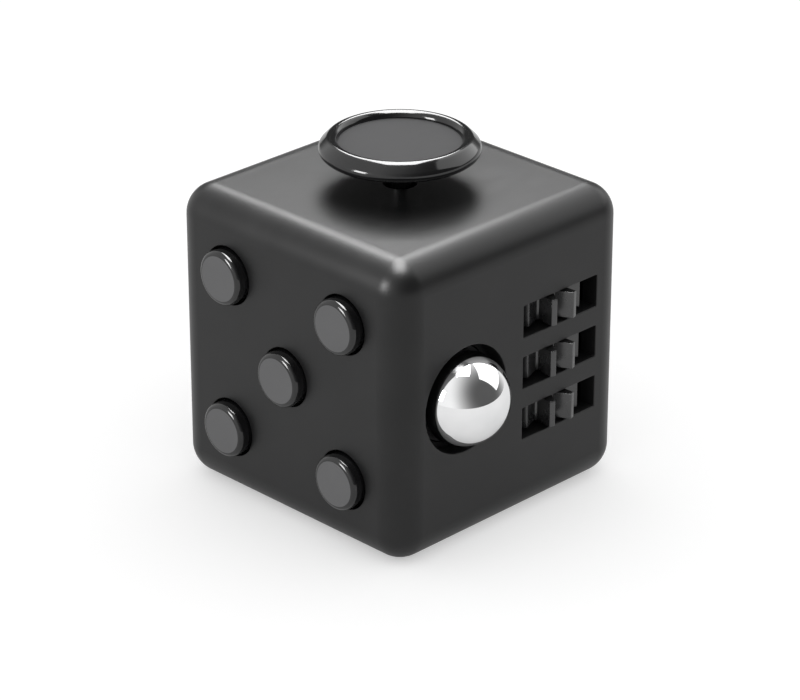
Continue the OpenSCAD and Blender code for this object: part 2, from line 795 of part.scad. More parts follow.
// Bracket with two cheeks that carry the rocker's stub axles and a ridge for its plunger.
module rocker_bracket() {
    color(inner_colour) back_face() difference() {
        union() {
            slab(bracket_back, bracket_front)
                square([2 * cheek_out, 2 * bracket_half_h], center = true);
            for (s = [-1, 1]) translate([s * (cheek_in + cheek_out) / 2, 0, (bracket_front + inner) / 2])
                cube([cheek_out - cheek_in, 2 * cheek_half, inner - bracket_front], center = true);
            translate([0, 0, bracket_front]) rotate([0, 90, 0]) bar(ridge_r, -ridge_half, ridge_half);
        }
        translate([0, 0, rocker_pivot]) rotate([0, 90, 0])
            bar(stub_r + shaft_play, -cheek_out - cut, cheek_out + cut);
        at_each(rocker_posts) bar(screw_r + shaft_play, 0, half);
    }
}

module rocker_screws() {
    color(steel_colour) back_face() at_each(rocker_posts)
        translate([0, 0, bracket_back - seat_gap]) screw(rocker_screw_len);
}

main_shell();
bottom_cover();
button_top_left();
button_top_right();
button_centre();
button_bottom_left();
button_bottom_right();
button_pad();
click_domes();
button_board();
board_screws();
roll_carrier();
carrier_screws();
wheel_axle();
wheel_top();
wheel_middle();
wheel_bottom();
wheel_spacers();
ball();
ball_cup();
ball_magnet();
ball_spring();
ball_click_dome();
thumb_stick();
stick_pin();
gimbal_ring();
gimbal_pins();
stick_housing();
housing_screws();
stick_spring();
spring_floor();
dial();
dial_star();
dial_screw();
dial_leaf();
leaf_screws();
rocker();
rocker_bracket();
rocker_plunger();
rocker_spring();
rocker_screws();
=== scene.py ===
import math

import bmesh
import bpy
from mathutils import Matrix, Vector
from mathutils.geometry import tessellate_polygon


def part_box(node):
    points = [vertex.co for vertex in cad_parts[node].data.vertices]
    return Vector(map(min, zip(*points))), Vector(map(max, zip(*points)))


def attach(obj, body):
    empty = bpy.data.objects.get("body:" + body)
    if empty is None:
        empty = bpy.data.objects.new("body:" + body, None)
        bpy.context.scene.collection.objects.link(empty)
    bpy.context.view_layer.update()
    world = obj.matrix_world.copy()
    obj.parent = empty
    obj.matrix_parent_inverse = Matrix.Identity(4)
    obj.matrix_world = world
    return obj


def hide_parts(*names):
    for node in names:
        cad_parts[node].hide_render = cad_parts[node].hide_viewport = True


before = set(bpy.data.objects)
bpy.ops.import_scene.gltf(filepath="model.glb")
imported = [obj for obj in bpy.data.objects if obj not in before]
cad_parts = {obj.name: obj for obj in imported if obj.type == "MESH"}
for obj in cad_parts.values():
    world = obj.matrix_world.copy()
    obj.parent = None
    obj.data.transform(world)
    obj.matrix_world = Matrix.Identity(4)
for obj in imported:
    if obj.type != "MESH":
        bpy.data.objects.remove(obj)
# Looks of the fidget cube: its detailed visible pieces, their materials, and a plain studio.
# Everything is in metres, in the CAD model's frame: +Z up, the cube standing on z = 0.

MM = 0.001
TINY = 0.0005 * MM
scene = bpy.context.scene
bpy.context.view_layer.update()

# ---------- sizes ----------

shell_low, shell_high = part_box("main_shell")
CENTRE = (shell_low + shell_high) / 2
HALF = (shell_high.x - shell_low.x) / 2
WALL = 2 * MM
EDGE_RADIUS = 3.35 * MM           # the cube's rounded edges
CAVITY_RADIUS = 1 * MM            # the rounded edges of its inside
LIP = 0.09 * MM                   # the softened edge of an opening
SUPPORT = 0.06 * MM               # a flat margin beside each rounding, so that flat faces shade flat
PAINT_DEPTH = 0.01 * MM           # how far below a flat its paint may reach

BUTTONS = ["top_left", "top_right", "centre", "bottom_left", "bottom_right"]
BUTTON_HOLE = 3.17 * MM
BALL_HOLE = 5.8 * MM
WHEELS = ["top", "middle", "bottom"]
WINDOW_WIDTH = 10.95 * MM
WINDOW_HEIGHT = 3.55 * MM
STEM_HOLE = 1.8 * MM
DIAL_GAP = 0.3 * MM
DIAL_RECESS = 0.7 * MM
DIAL_HUB_HOLE = 2.65 * MM
ROCKER_WINDOW = (8.3 * MM, 15.3 * MM)
ROCKER_CORNER = 0.3 * MM
COVER_HALF = 12.4 * MM            # half the side of the bottom cover
COVER_CORNER = 2 * MM
COVER_GAP = 0.2 * MM
DIP_RADIUS = 10 * MM              # the cover's shallow thumb dip
DIP_DEPTH = 1.2 * MM
DIP_MARGIN = 0.9 * MM             # the ring around the dip in which it softens into the cover
DIP_BLEND = 0.16 * MM             # how softly it does

# Each face's own directions: across it and up it. Outward is across x up.
FACES = {
    "front": (Vector((1, 0, 0)), Vector((0, 0, 1))),
    "right": (Vector((0, 1, 0)), Vector((0, 0, 1))),
    "back": (Vector((-1, 0, 0)), Vector((0, 0, 1))),
    "left": (Vector((0, -1, 0)), Vector((0, 0, 1))),
    "top": (Vector((1, 0, 0)), Vector((0, 1, 0))),
    "bottom": (Vector((-1, 0, 0)), Vector((0, 1, 0))),
}


def face_frame(face):
    """Puts a face's own coordinates in place: x across, y up, z outward from the cube's centre."""
    across, up = FACES[face]
    turn = Matrix((across, up, across.cross(up))).transposed()
    return Matrix.Translation(CENTRE) @ turn.to_4x4()


def middle(node):
    """The middle of a CAD node's box."""
    low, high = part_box(node)
    return (low + high) / 2


def on_face(face, point):
    """A point in a face's own coordinates."""
    return face_frame(face).inverted() @ point


# ---------- outlines ----------


def circle(radius, centre=(0, 0), steps=96):
    """A closed round outline."""
    turns = [2 * math.pi * i / steps for i in range(steps)]
    return [Vector((centre[0] + radius * math.cos(t), centre[1] + radius * math.sin(t))) for t in turns]


def arc(centre, radius, start, end, steps):
    """Points along part of a circle, from one angle to another."""
    turns = [start + (end - start) * k / steps for k in range(steps + 1)]
    return [centre + radius * Vector((math.cos(t), math.sin(t))) for t in turns]


def rounded(points, radii, closed=True, steps=5):
    """The outline with its corners rounded. radii is one number, or one for each point."""
    outline = []
    for i, point in enumerate(points):
        here = Vector(point)
        radius = radii[i] if isinstance(radii, (list, tuple)) else radii
        if radius == 0 or (not closed and i in (0, len(points) - 1)):
            outline.append(here)
            continue
        back = (Vector(points[i - 1]) - here).normalized()
        ahead = (Vector(points[(i + 1) % len(points)]) - here).normalized()
        half_angle = back.angle(ahead) / 2
        centre = here + (back + ahead).normalized() * (radius / math.sin(half_angle))
        start = here + back * (radius / math.tan(half_angle)) - centre
        end = here + ahead * (radius / math.tan(half_angle)) - centre
        for k in range(steps + 1):
            outline.append(centre + start.lerp(end, k / steps).normalized() * radius)
    return outline


def rectangle(width, height, radius, centre=(0, 0)):
    """A closed rectangle with rounded corners."""
    x, y = centre
    signs = [(-1, -1), (1, -1), (1, 1), (-1, 1)]
    corners = [(x + a * width / 2, y + b * height / 2) for a, b in signs]
    return rounded(corners, radius)


def inset(outline, distance):
    """The closed outline moved inward by that distance."""
    moved = []
    for i, here in enumerate(outline):
        before = (here - outline[i - 1]).normalized()
        after = (outline[(i + 1) % len(outline)] - here).normalized()
        inward = Vector((-before.y - after.y, before.x + after.x)).normalized()
        mitre = max(0.3, inward.dot(Vector((-before.y, before.x))))
        moved.append(here + inward * distance / mitre)
    return moved


# ---------- mesh building ----------


def ring(mesh, outline, height):
    """A loop of vertices along a flat outline at that height."""
    return [mesh.verts.new((p.x, p.y, height)) for p in outline]


def bridge(mesh, low, high):
    """Joins two loops of vertices with faces. A loop of one vertex is a point."""
    count = max(len(low), len(high))
    for i in range(count):
        j = (i + 1) % count
        corners = [low[i % len(low)], low[j % len(low)], high[j % len(high)], high[i % len(high)]]
        mesh.faces.new(list(dict.fromkeys(corners)))


def join(mesh, loops):
    """Joins a series of loops, each to the next."""
    for low, high in zip(loops, loops[1:]):
        bridge(mesh, low, high)


def fill(mesh, outer, holes=()):
    """Fills the flat region inside the outer loop and outside the holes."""
    loops = [outer, *holes]
    verts = [v for loop in loops for v in loop]
    for triangle in tessellate_polygon([[v.co for v in loop] for loop in loops]):
        mesh.faces.new([verts[i] for i in triangle])


def lathe(mesh, profile, segments=128):
    """A round surface: the (radius, height) profile turned about the z axis."""
    loops = []
    for radius, height in profile:
        outline = [Vector((0, 0))] if radius < TINY else circle(radius, steps=segments)
        loops.append(ring(mesh, outline, height))
    join(mesh, loops)
    return loops


def edge_steps(soft, steps=4):
    """How far in and how far down a rounded edge runs, from a flat face to an upright wall."""
    run = [(soft + SUPPORT, 0)]
    for k in range(steps + 1):
        angle = math.pi / 2 * k / steps
        run.append((soft * (1 - math.sin(angle)), soft * (1 - math.cos(angle))))
    return run


def solid(mesh, outline, low, high, soft, holes=()):
    """An upright solid of that outline, with holes, all its upper and lower edges rounded."""
    ends = []
    for loop, inward in [(outline, 1)] + [(hole, -1) for hole in holes]:
        steps = [(a, low + b) for a, b in edge_steps(soft)]
        steps += [(a, high - b) for a, b in reversed(edge_steps(soft))]
        rings = [ring(mesh, inset(loop, inward * a), z) for a, z in steps]
        join(mesh, rings)
        ends.append((rings[0], rings[-1]))
    for k in (0, 1):
        fill(mesh, ends[0][k], [end[k] for end in ends[1:]])


def paint(mesh, index, inside):
    """Gives material number index to the faces whose middle is inside."""
    for face in mesh.faces:
        if inside(face.calc_center_median()):
            face.material_index = index


def piece(name, mesh, body, materials, nodes=(), place=None):
    """Makes a bmesh a piece that rides on a CAD body and stands for CAD nodes."""
    bmesh.ops.remove_doubles(mesh, verts=mesh.verts, dist=TINY)
    if place:
        bmesh.ops.transform(mesh, matrix=place, verts=mesh.verts)
    bmesh.ops.recalc_face_normals(mesh, faces=mesh.faces)
    data = bpy.data.meshes.new(name)
    mesh.to_mesh(data)
    mesh.free()
    data.shade_smooth()
    data.set_sharp_from_angle(angle=math.radians(38))
    made = bpy.data.objects.new(name, data)
    scene.collection.objects.link(made)
    for material in materials:
        data.materials.append(material)
    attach(made, body)
    if nodes:
        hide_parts(*nodes)
    return made


# ---------- materials ----------


def add(tree, kind, inputs=None, **settings):
    """Adds a node, with its settings and its inputs: each a value, or a socket to link from."""
    node = tree.nodes.new(kind)
    for key, value in settings.items():
        setattr(node, key, value)
    for key, value in (inputs or {}).items():
        if isinstance(value, bpy.types.NodeSocket):
            tree.links.new(value, node.inputs[key])
        else:
            node.inputs[key].default_value = value
    return node


def new_material(name):
    """A material with an empty Principled shader, its tree, and the place on the object."""
    material = bpy.data.materials.new(name)
    material.use_nodes = True
    tree = material.node_tree
    place = add(tree, "ShaderNodeTexCoord").outputs["Object"]
    return material, tree, tree.nodes["Principled BSDF"], place


def noise(tree, place, size, detail=2.0, stretch=(1, 1, 1)):
    """Noise whose features are about that size in metres. Gives its 0 to 1 socket."""
    spread = add(tree, "ShaderNodeMapping", {"Vector": place, "Scale": stretch})
    inputs = {"Vector": spread.outputs["Vector"], "Scale": 1 / size, "Detail": detail}
    return add(tree, "ShaderNodeTexNoise", inputs).outputs["Fac"]


def between(tree, factor, low, high, start=0.3, end=0.7):
    """A number that runs from low to high as factor runs from start to end."""
    inputs = {"Value": factor, "From Min": start, "From Max": end, "To Min": low, "To Max": high}
    return add(tree, "ShaderNodeMapRange", inputs).outputs["Result"]


def blend_colour(tree, factor, first, second):
    """A colour between two, by a factor from 0 to 1."""
    node = add(tree, "ShaderNodeMix", data_type="RGBA")
    tree.links.new(factor, node.inputs["Factor"])
    node.inputs["A"].default_value = (*first, 1)
    node.inputs["B"].default_value = (*second, 1)
    return node.outputs["Result"]


def bump(tree, shader, layers):
    """Raises the surface by each (height socket, depth in metres) layer."""
    normal = None
    for height, depth in layers:
        inputs = {"Height": height, "Strength": 1.0, "Distance": depth}
        if normal:
            inputs["Normal"] = normal
        normal = add(tree, "ShaderNodeBump", inputs).outputs["Normal"]
    tree.links.new(normal, shader.inputs["Normal"])


def plastic(name, dark, light, gloss, grain, grain_depth, specular=0.5):
    """Moulded plastic: slow changes of tone and gloss, a fine moulded grain, faint handling marks."""
    material, tree, shader, place = new_material(name)
    clouds = noise(tree, place, 5 * MM, detail=3)
    grains = noise(tree, place, grain, detail=3)
    marks = noise(tree, place, 1.6 * MM, detail=5, stretch=(1, 0.35, 0.6))
    tone = between(tree, clouds, 0, 1)
    tree.links.new(blend_colour(tree, tone, dark, light), shader.inputs["Base Color"])
    wear = add(tree, "ShaderNodeMath", {0: clouds, 1: marks}, operation="MULTIPLY").outputs[0]
    tree.links.new(between(tree, wear, gloss[0], gloss[1], 0.15, 0.4), shader.inputs["Roughness"])
    shader.inputs["Specular IOR Level"].default_value = specular
    bump(tree, shader, [(grains, grain_depth)])
    return material


def metal(name, dark, light, gloss, brush, brush_depth):
    """Metal with fine brushing and a slight change of tone."""
    material, tree, shader, place = new_material(name)
    clouds = noise(tree, place, 3 * MM, detail=2)
    strokes = noise(tree, place, brush, detail=3, stretch=(1, 1, 0.12))
    tree.links.new(blend_colour(tree, between(tree, clouds, 0, 1), dark, light), shader.inputs["Base Color"])
    tree.links.new(between(tree, strokes, gloss[0], gloss[1]), shader.inputs["Roughness"])
    shader.inputs["Metallic"].default_value = 1
    bump(tree, shader, [(strokes, brush_depth)])
    return material


def rubber(name, dark, light):
    """Soft matte silicone with a dusty fine grain."""
    material, tree, shader, place = new_material(name)
    clouds = noise(tree, place, 2 * MM, detail=4)
    grains = noise(tree, place, 0.08 * MM, detail=2)
    tree.links.new(blend_colour(tree, between(tree, clouds, 0, 1), dark, light), shader.inputs["Base Color"])
    tree.links.new(between(tree, grains, 0.6, 0.8), shader.inputs["Roughness"])
    shader.inputs["Specular IOR Level"].default_value = 0.3
    shader.inputs["Sheen Weight"].default_value = 0.15
    bump(tree, shader, [(grains, 0.006 * MM)])
    return material


case_plastic = plastic(
    "case_plastic", (0.004, 0.004, 0.0042), (0.0065, 0.0065, 0.0068),
    gloss=(0.36, 0.4), grain=0.12 * MM, grain_depth=0.006 * MM, specular=0.38)
gloss_plastic = plastic(
    "gloss_plastic", (0.004, 0.004, 0.0043), (0.007, 0.007, 0.0074),
    gloss=(0.1, 0.14), grain=0.4 * MM, grain_depth=0.0008 * MM, specular=0.6)
wheel_plastic = plastic(
    "wheel_plastic", (0.008, 0.008, 0.0085), (0.014, 0.014, 0.0145),
    gloss=(0.24, 0.32), grain=0.3 * MM, grain_depth=0.001 * MM, specular=1)
matte_plastic = plastic(
    "matte_plastic", (0.125, 0.125, 0.127), (0.132, 0.132, 0.134),
    gloss=(0.6, 0.7), grain=0.1 * MM, grain_depth=0.003 * MM, specular=0.01)
inner_plastic = plastic(
    "inner_plastic", (0.008, 0.008, 0.0085), (0.014, 0.014, 0.0145),
    gloss=(0.4, 0.6), grain=0.25 * MM, grain_depth=0.01 * MM, specular=0.15)
silicone = rubber("silicone", (0.16, 0.16, 0.17), (0.22, 0.22, 0.23))
steel = metal("steel", (0.48, 0.49, 0.5), (0.62, 0.62, 0.63), (0.2, 0.38), 0.2 * MM, 0.004 * MM)
magnet_metal = metal("magnet", (0.3, 0.3, 0.31), (0.42, 0.42, 0.43), (0.25, 0.45), 0.25 * MM, 0.003 * MM)
chrome = metal("ball_chrome", (0.86, 0.865, 0.87), (0.93, 0.93, 0.935), (0.02, 0.045), 0.6 * MM, 0.0002 * MM)

NODE_MATERIALS = {
    "case_plastic": case_plastic,
    "control_plastic": gloss_plastic,
    "inner_plastic": inner_plastic,
    "silicone": silicone,
    "steel": steel,
    "ball_chrome": chrome,
    "magnet": magnet_metal,
}


def dress_cad_nodes():
    """Gives each CAD node the detailed material of the slot that it was packed with."""
    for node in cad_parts.values():
        for place in node.material_slots:
            for slot, material in NODE_MATERIALS.items():
                if place.material and place.material.name.startswith(slot):
                    place.material = material


# ---------- case ----------


def wheel_window(wheel):
    """The outline of one wheel's window on the right face."""
    place = on_face("right", middle("wheel_" + wheel))
    axle = on_face("right", middle("wheel_axle"))
    return rectangle(WINDOW_WIDTH, WINDOW_HEIGHT, 0.12 * MM, (axle.x, place.y))


def openings(face):
    """Each opening on a face, as (outline, depths): it narrows to the next outline at each depth."""
    inside = HALF - WALL
    if face == "front":
        places = [on_face(face, middle("button_" + name)) for name in BUTTONS]
        return [[(circle(BUTTON_HOLE, p.xy), inside)] for p in places]
    if face == "right":
        ball = on_face(face, middle("ball"))
        found = [[(circle(BALL_HOLE, ball.xy), inside)]]
        return found + [[(wheel_window(name), inside)] for name in WHEELS]
    if face == "top":
        return [[(circle(STEM_HOLE), inside)]]
    if face == "left":
        low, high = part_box("dial")
        recess = circle((high.y - low.y) / 2 + DIAL_GAP)
        return [[(recess, HALF - DIAL_RECESS), (circle(DIAL_HUB_HOLE), inside)]]
    if face == "back":
        return [[(rectangle(*ROCKER_WINDOW, ROCKER_CORNER), inside)]]
    return [[(cover_outline(COVER_GAP), inside)]]


def cover_outline(gap=0):
    """The bottom cover's outline, or that of an opening with a gap around it."""
    return rectangle(2 * (COVER_HALF + gap), 2 * (COVER_HALF + gap), COVER_CORNER + gap)


def wall_of_opening(mesh, steps):
    """Builds an opening's softened lip and its walls. Gives its outer and its inner loop."""
    outline, depth = steps[0]
    lip = [(inset(outline, -a), HALF - b) for a, b in edge_steps(LIP)]
    rings = [ring(mesh, points, z) for points, z in lip]
    rings.append(ring(mesh, outline, depth))
    join(mesh, rings)
    inner = rings[-1]
    for narrower, deeper in steps[1:]:
        start = ring(mesh, narrower, depth)
        fill(mesh, inner, [start])
        inner = ring(mesh, narrower, deeper)
        join(mesh, [start, inner])
    return rings[0], inner


def square_loop(mesh, half, height):
    """A loop of four vertices."""
    corners = [(-half, -half), (half, -half), (half, half), (-half, half)]
    return ring(mesh, [Vector(c) for c in corners], height)


def rounded_box(mesh, half, radius, steps):
    """The rounded edges and corners of a cube about the cube's centre, without its flat faces."""
    flat = half - radius
    turns = [math.pi / 2 * k / steps for k in range(steps + 1)]
    for axis in range(3):
        first, second = [a for a in range(3) if a != axis]
        for sign_a in (-1, 1):
            for sign_b in (-1, 1):
                rails = ([], [])
                for turn in turns:
                    for rail, end in zip(rails, (-flat, flat)):
                        point = Vector((end, end, end))
                        point[first] = sign_a * (flat + radius * math.cos(turn))
                        point[second] = sign_b * (flat + radius * math.sin(turn))
                        rail.append(mesh.verts.new(CENTRE + point))
                for i in range(steps):
                    mesh.faces.new((rails[0][i], rails[0][i + 1], rails[1][i + 1], rails[1][i]))
    for signs in [(a, b, c) for a in (-1, 1) for b in (-1, 1) for c in (-1, 1)]:
        rows = []
        for tilt in turns:
            row = []
            for turn in turns if tilt else turns[:1]:
                way = (math.sin(tilt) * math.cos(turn), math.sin(tilt) * math.sin(turn), math.cos(tilt))
                place = [CENTRE[i] + signs[i] * (flat + radius * way[i]) for i in range(3)]
                row.append(mesh.verts.new(place))
            rows.append(row)
        for i in range(steps):
            mesh.faces.new((rows[0][0], rows[1][i], rows[1][i + 1]))
            for j in range(1, steps):
                mesh.faces.new((rows[j][i], rows[j + 1][i], rows[j + 1][i + 1], rows[j][i + 1]))


def case_body():
    """The hollow case: rounded outside, flat faces with their openings, rounded inside."""
    mesh = bmesh.new()
    rounded_box(mesh, HALF, EDGE_RADIUS, steps=16)
    rounded_box(mesh, HALF - WALL, CAVITY_RADIUS, steps=4)
    for face in FACES:
        side = bmesh.new()
        outer_holes, inner_holes = [], []
        for steps in openings(face):
            outer, inner = wall_of_opening(side, steps)
            outer_holes.append(outer)
            inner_holes.append(inner)
        border = square_loop(side, HALF - EDGE_RADIUS, HALF)
        flat = square_loop(side, HALF - EDGE_RADIUS - SUPPORT, HALF)
        bridge(side, border, flat)
        fill(side, flat, outer_holes)
        inside = HALF - WALL
        fill(side, square_loop(side, inside - CAVITY_RADIUS, inside), inner_holes)
        bmesh.ops.transform(side, matrix=face_frame(face), verts=side.verts)
        sheet = bpy.data.meshes.new("side")
        side.to_mesh(sheet)
        side.free()
        mesh.from_mesh(sheet)
        bpy.data.meshes.remove(sheet)
    return piece("case_body", mesh, "case", [case_plastic], ["main_shell"])


def smooth_min(a, b, blend):
    """The lesser of two numbers, with a rounded change from one to the other."""
    h = max(blend - abs(a - b), 0) / blend
    return min(a, b) - h * h * blend / 4


def bottom_cover():
    """The cover on the bottom face, with its shallow thumb dip."""
    ball = (DIP_RADIUS ** 2 + DIP_DEPTH ** 2) / (2 * DIP_DEPTH)
    mesh = bmesh.new()
    outline = cover_outline()
    sides = [(a, HALF - b) for a, b in edge_steps(0.2 * MM)]
    sides += [(a, HALF - WALL + b) for a, b in reversed(edge_steps(0.1 * MM))]
    rings = [ring(mesh, inset(outline, a), z) for a, z in sides]
    join(mesh, rings)
    fill(mesh, rings[-1])
    rim = DIP_RADIUS + DIP_MARGIN
    count = 34
    profile = []
    for k in range(count + 1):
        radius = rim * (1 - k / count)
        dish = HALF + ball - DIP_DEPTH - math.sqrt(ball ** 2 - radius ** 2)
        profile.append((radius, smooth_min(HALF, dish, DIP_BLEND)))
    dip = lathe(mesh, profile)
    fill(mesh, rings[0], [dip[0]])
    place = face_frame("bottom")
    return piece("cover", mesh, "case", [case_plastic], ["bottom_cover"], place)


# ---------- buttons ----------

CAP_RADIUS = 2.95 * MM
CAP_EDGE = 0.52 * MM              # the rounded edge around a cap's flat face
PUSH_TIP_RADIUS = 1.2 * MM        # the tip behind the flange that presses the pad
PUSH_TIP_LENGTH = 0.7 * MM
FLANGE_TOP = 1.4 * MM             # height of the flange's front above the tip's end
FLANGE_SOFT = 0.1 * MM


def button(name):
    """A push button: a matte flat face inside a glossy rounded edge."""
    node = "button_" + name
    place = on_face("front", middle(node))
    low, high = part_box(node)
    top = on_face("front", low).z
    tip = on_face("front", high).z
    flange = tip + FLANGE_TOP
    neck = tip + PUSH_TIP_LENGTH
    flange_radius = (high.x - low.x) / 2
    mesh = bmesh.new()
    corners = [
        (0, tip), (PUSH_TIP_RADIUS, tip), (PUSH_TIP_RADIUS, neck), (flange_radius, neck),
        (flange_radius, flange), (CAP_RADIUS, flange)]
    profile = rounded(corners, [0, FLANGE_SOFT, 0, FLANGE_SOFT, FLANGE_SOFT, 0], closed=False)
    flat = CAP_RADIUS - CAP_EDGE
    profile += arc(Vector((flat, top - CAP_EDGE)), CAP_EDGE, 0, math.pi / 2, 14)
    profile += [Vector((flat - SUPPORT, top)), Vector((0, top))]
    lathe(mesh, profile)
    paint(mesh, 1, lambda p: p.z > top - PAINT_DEPTH and p.xy.length < flat)
    place = face_frame("front") @ Matrix.Translation((place.x, place.y, 0))
    return piece("cap_" + name, mesh, node, [gloss_plastic, matte_plastic], [node], place)


# ---------- ball and wheels ----------


def ball():
    """The polished steel ball."""
    low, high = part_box("ball")
    mesh = bmesh.new()
    bmesh.ops.create_icosphere(mesh, subdivisions=6, radius=(high.x - low.x) / 2)
    place = Matrix.Translation(middle("ball"))
    return piece("roller_ball", mesh, "ball", [chrome], ["ball"], place)


TEETH = 10
TOOTH_PHASE = math.radians(16)
TOOTH_ROOT = (2.79 * MM, 0.757 * MM)   # where a tooth leaves the wheel: distance out, half width
TOOTH_TIP = (4.75 * MM, 0.31 * MM)     # a tooth's tip: distance out, half width
WHEEL_BORE = 0.8 * MM
TOOTH_SOFT = 0.09 * MM


def wheel_outline():
    """A wheel's outline: straight-sided teeth with softened tips."""
    points, radii = [], []
    for i in range(TEETH):
        turn = Matrix.Rotation(TOOTH_PHASE + 2 * math.pi * i / TEETH, 2)
        corners = [(TOOTH_ROOT, -1), (TOOTH_TIP, -1), (TOOTH_TIP, 1), (TOOTH_ROOT, 1)]
        for (out, half_width), side in corners:
            points.append(turn @ Vector((out, side * half_width)))
            radii.append(TOOTH_SOFT)
    return rounded(points, radii, steps=4)


def wheel(name):
    """A toothed wheel with softened edges, on its upright axle."""
    node = "wheel_" + name
    low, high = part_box(node)
    axle = middle("wheel_axle")
    mesh = bmesh.new()
    solid(mesh, wheel_outline(), low.z, high.z, TOOTH_SOFT, [circle(WHEEL_BORE, steps=48)])
    place = Matrix.Translation((axle.x, axle.y, 0))
    return piece("roller_" + name, mesh, node, [wheel_plastic], [node], place)


# ---------- thumb disc ----------

RIM_ROUND = 0.7 * MM              # radius of the rim's rounded crest and outer edge
RIM_LEAN = 0.6 * MM               # how far the crest stands inside the outer edge
RIM_DROP = 1.3 * MM               # how far the outer edge lies below the top
DISC_FLAT_DROP = 0.75 * MM        # how far the matte centre lies below the top
DISC_UNDER_DROP = 1.95 * MM       # how far the underside lies below the top


def thumb_disc():
    """The thumb disc on its stem: a thick glossy rolled rim around a flat matte centre."""
    low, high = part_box("thumb_stick")
    foot = low.z
    under = high.z - DISC_UNDER_DROP
    floor = high.z - DISC_FLAT_DROP
    edge = Vector((high.x - RIM_ROUND, high.z - RIM_DROP))
    crest = Vector((edge.x - RIM_LEAN, high.z - RIM_ROUND))
    flat = crest.x - RIM_ROUND
    corners = [
        (0, foot), (2.6 * MM, foot), (2.6 * MM, foot + 0.8 * MM), (1.1 * MM, foot + 0.8 * MM),
        (1.1 * MM, foot + 3 * MM), (1 * MM, foot + 6 * MM), (1 * MM, under - 1.7 * MM),
        (2.4 * MM, under), (edge.x - 0.4 * MM, under)]
    soft = [0, 0.1, 0.1, 0.1, 0.05, 0.05, 0.3, 0.5, 0]
    profile = rounded(corners, [s * MM for s in soft], closed=False, steps=8)
    slope = math.atan2(edge.x - crest.x, crest.y - edge.y)
    profile += arc(edge, RIM_ROUND, math.radians(-100), slope, 16)
    profile += arc(crest, RIM_ROUND, slope, math.pi, 24)
    profile += [Vector((flat, floor)), Vector((flat - SUPPORT, floor)), Vector((0, floor))]
    mesh = bmesh.new()
    lathe(mesh, profile, segments=192)
    paint(mesh, 1, lambda p: p.z > floor - PAINT_DEPTH and p.xy.length < flat)
    return piece(
        "thumb_disc", mesh, "thumb_stick", [gloss_plastic, matte_plastic], ["thumb_stick"])


# ---------- dial ----------

DIAL_LIFT = 0.15 * MM             # gap behind the dial in its recess
DIAL_BOWL = 0.7 * MM              # depth of its sunken middle, and width of the slope into it
DIAL_RIM = 1.3 * MM               # width of its raised rim
DIMPLE_OFFSET = 4.3 * MM          # from the dial's middle to the finger dimple's
DIMPLE_RADIUS = 1.6 * MM
DIMPLE_DEPTH = 0.55 * MM


def dial():
    """The spinning dial: a raised rim, a sunken middle and a finger dimple."""
    low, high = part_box("dial")
    radius = (high.y - low.y) / 2
    top = on_face("left", Vector((low.x, 0, 0))).z
    back = HALF - DIAL_RECESS + DIAL_LIFT
    bowl = top - DIAL_BOWL
    rim_in = radius - DIAL_RIM
    bowl_radius = rim_in - DIAL_BOWL
    corners = [(0, back), (radius, back), (radius, top), (rim_in, top), (bowl_radius, bowl), (0, bowl)]
    soft = [0, 0.12, 0.45, 0.25, 0.5, 0]
    profile = rounded(corners, [s * MM for s in soft], closed=False, steps=6)
    mesh = bmesh.new()
    start = profile[-2].x
    rings = 44
    middle_rings = [Vector((start * (1 - k / rings), bowl)) for k in range(1, rings)]
    lathe(mesh, profile[:-1] + middle_rings + profile[-1:], segments=160)
    press_dimple(mesh, Vector((0, DIMPLE_OFFSET)), DIMPLE_RADIUS, DIMPLE_DEPTH, bowl)
    return piece("dial_face", mesh, "dial", [gloss_plastic], ["dial"], face_frame("left"))


def press_dimple(mesh, centre, radius, depth, surface):
    """Presses a round dimple into the part of a mesh that lies at that height."""
    ball_radius = (radius ** 2 + depth ** 2) / (2 * depth)
    for vert in mesh.verts:
        away = (vert.co.xy - centre).length
        if away < radius * 1.3 and vert.co.z > surface - TINY:
            bottom = surface + ball_radius - depth - math.sqrt(ball_radius ** 2 - away ** 2)
            vert.co.z = smooth_min(vert.co.z, bottom, 0.12 * MM)


# ---------- rocker ----------

ROCKER_PIVOT = 13.2 * MM
ROCKER_TILT = math.radians(9)
ROCKER_WIDTH = 7.8 * MM
ROCKER_SWEEP = 7.6 * MM           # radius that its ends keep to about its axis
ROCKER_BOTTOM = 12.2 * MM         # this and the next two are distances out from the cube's centre
ROCKER_END = 16.5 * MM
ROCKER_CREASE = 15.5 * MM
ROCKER_SAG = 0.22 * MM            # how far each facet is dished
ROCKER_SOFT = 0.2 * MM


